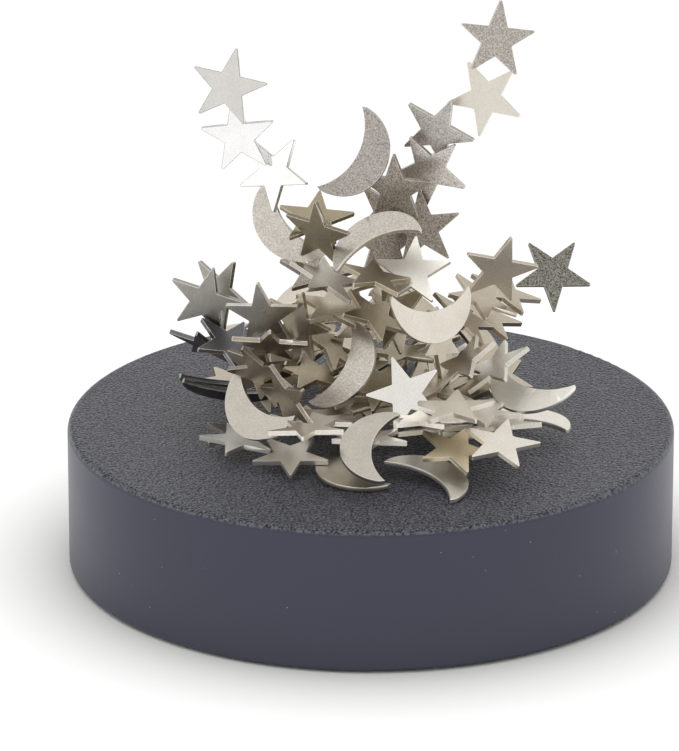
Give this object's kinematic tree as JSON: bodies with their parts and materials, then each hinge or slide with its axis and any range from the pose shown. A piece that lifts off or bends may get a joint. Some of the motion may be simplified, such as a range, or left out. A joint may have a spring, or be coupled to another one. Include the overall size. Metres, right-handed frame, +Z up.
{
  "type": "magnetic desk sculpture",
  "caption": "Round black magnetic base holding a heap of loose steel stars and crescent moons, with chains of stars standing up from it.",
  "frame": {"origin": "middle of the underside of the foot pad", "axes": "+Z up through the middle of the round base, -Y toward the front of the heap"},
  "size_m": [0.0888, 0.0888, 0.0845],
  "materials": {
    "base_plastic": "pebbled deck, satin side",
    "chip_nickel": "satin nickel plate, fine blasted grain",
    "ferrite": "ground ferrite",
    "keeper_steel": "zinc plated",
    "retainer_plastic": "moulded",
    "screw_steel": "zinc plated",
    "cover_plastic": "moulded",
    "felt": "pressed felt"
  },
  "bodies": {
    "base": {"base_shell": "base_plastic", "bottom_cover": "cover_plastic", "crown_star_4": "chip_nickel", "far_side_star_1": "chip_nickel", "foot_pad": "felt", "front_skirt_moon_1": "chip_nickel", "front_skirt_moon_2": "chip_nickel", "front_skirt_star_2": "chip_nickel", "front_skirt_star_3": "chip_nickel", "front_stack_chips": "chip_nickel", "heap_core_chips": "chip_nickel", "keeper_plate": "keeper_steel", "left_covered_chips": "chip_nickel", "left_slope_moon_2": "chip_nickel", "left_slope_star_4": "chip_nickel", "magnet": "ferrite", "magnet_retainer": "retainer_plastic", "middle_covered_chips": "chip_nickel", "middle_slope_moon_2": "chip_nickel", "middle_slope_star_3": "chip_nickel", "middle_slope_star_7": "chip_nickel", "retainer_screws": "screw_steel", "right_covered_chips": "chip_nickel", "right_tower_star_7": "chip_nickel", "right_tower_star_8": "chip_nickel", "right_tower_star_9": "chip_nickel", "upper_covered_chips": "chip_nickel"},
    "crown_star_3": {"crown_star_3": "chip_nickel"},
    "right_slope_moon_1": {"right_slope_moon_1": "chip_nickel"},
    "left_slope_moon_1": {"left_slope_moon_1": "chip_nickel"},
    "left_slope_moon_3": {"left_slope_moon_3": "chip_nickel"},
    "middle_slope_star_10": {"middle_slope_star_10": "chip_nickel"},
    "middle_slope_star_5": {"middle_slope_star_5": "chip_nickel"},
    "middle_slope_star_4": {"middle_slope_star_4": "chip_nickel"},
    "left_slope_star_3": {"left_slope_star_3": "chip_nickel"},
    "crown_star_2": {"crown_star_2": "chip_nickel"},
    "far_side_moon_2": {"far_side_moon_2": "chip_nickel"},
    "left_slope_star_11": {"left_slope_star_11": "chip_nickel"},
    "left_tower_moon_1": {"left_tower_moon_1": "chip_nickel"},
    "left_tower_star_2": {"left_tower_star_2": "chip_nickel"},
    "right_tower_star_3": {"right_tower_star_3": "chip_nickel"},
    "right_tower_star_4": {"right_tower_star_4": "chip_nickel"},
    "right_tower_star_5": {"right_tower_star_5": "chip_nickel"},
    "right_tower_star_6": {"right_tower_star_6": "chip_nickel"},
    "left_tower_star_1": {"left_tower_star_1": "chip_nickel"},
    "left_tower_star_3": {"left_tower_star_3": "chip_nickel"},
    "crown_moon_1": {"crown_moon_1": "chip_nickel"},
    "crown_moon_2": {"crown_moon_2": "chip_nickel"},
    "right_slope_star_5": {"right_slope_star_5": "chip_nickel"},
    "right_slope_star_6": {"right_slope_star_6": "chip_nickel"},
    "right_slope_moon_2": {"right_slope_moon_2": "chip_nickel"},
    "right_slope_star_10": {"right_slope_star_10": "chip_nickel"},
    "right_slope_star_11": {"right_slope_star_11": "chip_nickel"},
    "left_slope_star_1": {"left_slope_star_1": "chip_nickel"},
    "left_slope_star_2": {"left_slope_star_2": "chip_nickel"},
    "left_slope_star_8": {"left_slope_star_8": "chip_nickel"},
    "middle_slope_moon_1": {"middle_slope_moon_1": "chip_nickel"},
    "front_skirt_star_1": {"front_skirt_star_1": "chip_nickel"},
    "front_skirt_moon_3": {"front_skirt_moon_3": "chip_nickel"},
    "far_side_moon_3": {"far_side_moon_3": "chip_nickel"}
  },
  "joints": [
    {"name": "crown_star_3_lift", "type": "slide", "parent": "base", "child": "crown_star_3", "axis": [-0.6826, -0.6826, 0.261], "range_m": [0, 0.03]},
    {"name": "right_slope_moon_1_lift", "type": "slide", "parent": "base", "child": "right_slope_moon_1", "axis": [0.8385, 0.4791, 0.2595], "range_m": [0, 0.03]},
    {"name": "left_slope_moon_1_lift", "type": "slide", "parent": "base", "child": "left_slope_moon_1", "axis": [-0.9323, -0.2506, 0.2607], "range_m": [0, 0.03]},
    {"name": "left_slope_moon_3_lift", "type": "slide", "parent": "base", "child": "left_slope_moon_3", "axis": [-0.9659, 0, 0.2589], "range_m": [0, 0.03]},
    {"name": "middle_slope_star_10_lift", "type": "slide", "parent": "base", "child": "middle_slope_star_10", "axis": [-0.1296, -0.2193, 0.967], "range_m": [0, 0.03]},
    {"name": "middle_slope_star_5_lift", "type": "slide", "parent": "base", "child": "middle_slope_star_5", "axis": [0, 0.9659, 0.2589], "range_m": [0, 0.03]},
    {"name": "middle_slope_star_4_lift", "type": "slide", "parent": "base", "child": "middle_slope_star_4", "axis": [0.6826, -0.6826, 0.261], "range_m": [0, 0.03]},
    {"name": "left_slope_star_3_lift", "type": "slide", "parent": "base", "child": "left_slope_star_3", "axis": [-0.9659, 0, 0.2589], "range_m": [0, 0.03]},
    {"name": "crown_star_2_lift", "type": "slide", "parent": "base", "child": "crown_star_2", "axis": [-0.2107, 0.7927, 0.572], "range_m": [0, 0.03]},
    {"name": "far_side_moon_2_lift", "type": "slide", "parent": "base", "child": "far_side_moon_2", "axis": [-0.4791, 0.8385, 0.2595], "range_m": [0, 0.03]},
    {"name": "left_slope_star_11_lift", "type": "slide", "parent": "base", "child": "left_slope_star_11", "axis": [-0.6826, -0.6826, 0.261], "range_m": [0, 0.03]},
    {"name": "left_tower_moon_1_lift", "type": "slide", "parent": "base", "child": "left_tower_moon_1", "axis": [-0.7927, 0.2107, 0.572], "range_m": [0, 0.03]},
    {"name": "left_tower_star_2_lift", "type": "slide", "parent": "base", "child": "left_tower_star_2", "axis": [-0.4984, 0.2891, 0.8173], "range_m": [0, 0.03]},
    {"name": "right_tower_star_3_lift", "type": "slide", "parent": "base", "child": "right_tower_star_3", "axis": [0.711, 0.4106, 0.5708], "range_m": [0, 0.03]},
    {"name": "right_tower_star_4_lift", "type": "slide", "parent": "base", "child": "right_tower_star_4", "axis": [0.7927, -0.2107, 0.572], "range_m": [0, 0.03]},
    {"name": "right_tower_star_5_lift", "type": "slide", "parent": "base", "child": "right_tower_star_5", "axis": [0.711, -0.4106, 0.5708], "range_m": [0, 0.03]},
    {"name": "right_tower_star_6_lift", "type": "slide", "parent": "base", "child": "right_tower_star_6", "axis": [0.711, -0.4106, 0.5708], "range_m": [0, 0.03]},
    {"name": "left_tower_star_1_lift", "type": "slide", "parent": "base", "child": "left_tower_star_1", "axis": [-0.5807, 0.5807, 0.5707], "range_m": [0, 0.03]},
    {"name": "left_tower_star_3_lift", "type": "slide", "parent": "base", "child": "left_tower_star_3", "axis": [-0.711, -0.4106, 0.5708], "range_m": [0, 0.03]},
    {"name": "crown_moon_1_lift", "type": "slide", "parent": "base", "child": "crown_moon_1", "axis": [-0.7927, 0.2107, 0.572], "range_m": [0, 0.03]},
    {"name": "crown_moon_2_lift", "type": "slide", "parent": "base", "child": "crown_moon_2", "axis": [0.2506, -0.9323, 0.2607], "range_m": [0, 0.03]},
    {"name": "right_slope_star_5_lift", "type": "slide", "parent": "base", "child": "right_slope_star_5", "axis": [0.4984, -0.2891, 0.8173], "range_m": [0, 0.03]},
    {"name": "right_slope_star_6_lift", "type": "slide", "parent": "base", "child": "right_slope_star_6", "axis": [0.711, -0.4106, 0.5708], "range_m": [0, 0.03]},
    {"name": "right_slope_moon_2_lift", "type": "slide", "parent": "base", "child": "right_slope_moon_2", "axis": [0.711, -0.4106, 0.5708], "range_m": [0, 0.03]},
    {"name": "right_slope_star_10_lift", "type": "slide", "parent": "base", "child": "right_slope_star_10", "axis": [0.4984, -0.2891, 0.8173], "range_m": [0, 0.03]},
    {"name": "right_slope_star_11_lift", "type": "slide", "parent": "base", "child": "right_slope_star_11", "axis": [0.4106, -0.711, 0.5708], "range_m": [0, 0.03]},
    {"name": "left_slope_star_1_lift", "type": "slide", "parent": "base", "child": "left_slope_star_1", "axis": [-0.2891, 0.4984, 0.8173], "range_m": [0, 0.03]},
    {"name": "left_slope_star_2_lift", "type": "slide", "parent": "base", "child": "left_slope_star_2", "axis": [-0.8211, 0, 0.5708], "range_m": [0, 0.03]},
    {"name": "left_slope_star_8_lift", "type": "slide", "parent": "base", "child": "left_slope_star_8", "axis": [-0.711, -0.4106, 0.5708], "range_m": [0, 0.03]},
    {"name": "middle_slope_moon_1_lift", "type": "slide", "parent": "base", "child": "middle_slope_moon_1", "axis": [0.2506, -0.9323, 0.2607], "range_m": [0, 0.03]},
    {"name": "front_skirt_star_1_lift", "type": "slide", "parent": "base", "child": "front_skirt_star_1", "axis": [0.711, -0.4106, 0.5708], "range_m": [0, 0.03]},
    {"name": "front_skirt_moon_3_lift", "type": "slide", "parent": "base", "child": "front_skirt_moon_3", "axis": [0.2891, -0.4984, 0.8173], "range_m": [0, 0.03]},
    {"name": "far_side_moon_3_lift", "type": "slide", "parent": "base", "child": "far_side_moon_3", "axis": [-0.4984, 0.2891, 0.8173], "range_m": [0, 0.03]}
  ]
}
